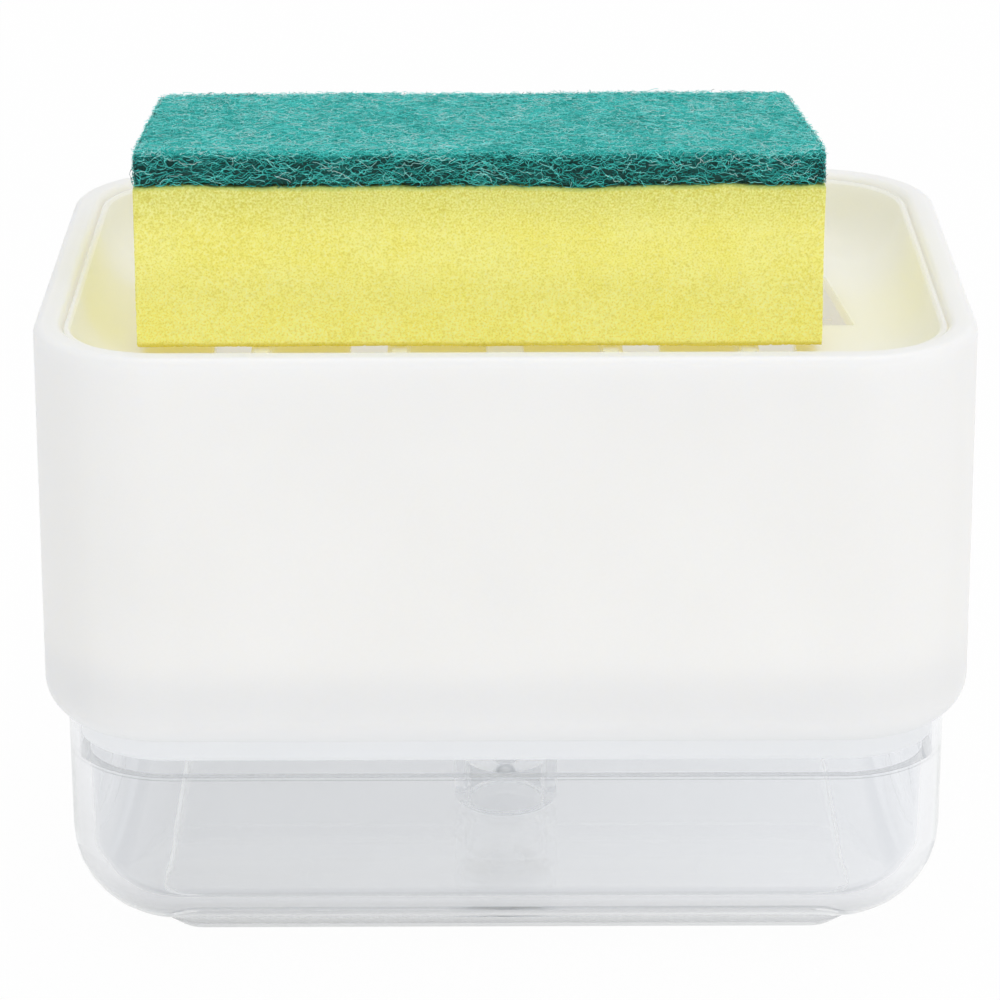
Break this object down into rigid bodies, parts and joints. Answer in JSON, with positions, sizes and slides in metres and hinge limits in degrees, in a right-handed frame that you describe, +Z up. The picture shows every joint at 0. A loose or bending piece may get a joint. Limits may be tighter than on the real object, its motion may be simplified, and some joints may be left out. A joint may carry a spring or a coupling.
{
  "type": "soap pump caddy",
  "caption": "Press-to-dispense soap caddy: a clear tank under a white housing, with a slotted sponge tray over a spring pump and a scouring sponge.",
  "frame": {"origin": "centre of the foot's underside, where the caddy stands", "axes": "+Z up, +X along the long side, +Y from the front of the caddy to its back"},
  "size_m": [0.1346, 0.0984, 0.1136],
  "materials": {
    "clear_plastic": "clear, polished, faint cool tint",
    "white_shell": "opaque white, smooth gloss",
    "white_inner": "opaque white, satin",
    "pump_plastic": "natural polypropylene, satin",
    "soft_seal": "soft translucent grey",
    "spring_steel": "drawn stainless wire",
    "ball_steel": "polished stainless",
    "yellow_foam": "open-cell cellulose foam, matt and porous",
    "green_pad": "non-woven scouring fibre, matt"
  },
  "bodies": {
    "tank": {"tank": "clear_plastic"},
    "cover": {"housing": "white_shell", "pump_deck": "white_inner", "deck_seal": "soft_seal", "barrel_gasket": "soft_seal", "pump_barrel": "pump_plastic", "pump_collar": "white_inner", "barrel_cap": "pump_plastic", "spring_seat": "pump_plastic", "return_spring": "spring_steel"},
    "press": {"press_head": "pump_plastic", "piston_stem": "pump_plastic", "piston_rod": "pump_plastic", "piston_cup": "soft_seal"},
    "tray": {"press_tray": "white_inner"},
    "sponge": {"sponge_foam": "yellow_foam", "scouring_pad": "green_pad"},
    "inlet_valve": {"inlet_ball": "ball_steel"},
    "outlet_valve": {"outlet_ball": "ball_steel"}
  },
  "joints": [
    {"name": "cover_lift", "type": "slide", "parent": "tank", "child": "cover", "axis": [0, 0, 1], "range_m": [0, 0.06]},
    {"name": "press", "type": "slide", "parent": "cover", "child": "press", "axis": [0, 0, -1], "range_m": [0, 0.008], "stiffness_N_per_m": 500, "springref_m": -0.006, "deforming": ["return_spring"]},
    {"name": "tray_lift", "type": "slide", "parent": "press", "child": "tray", "axis": [0, 0, 1], "range_m": [0, 0.03]},
    {"name": "sponge_lift", "type": "slide", "parent": "tray", "child": "sponge", "axis": [0, 0, 1], "range_m": [0, 0.04]},
    {"name": "inlet_lift", "type": "slide", "parent": "cover", "child": "inlet_valve", "axis": [0, 0, 1], "range_m": [0, 0.0011]},
    {"name": "outlet_lift", "type": "slide", "parent": "press", "child": "outlet_valve", "axis": [0, 0, 1], "range_m": [0, 0.0011]}
  ]
}
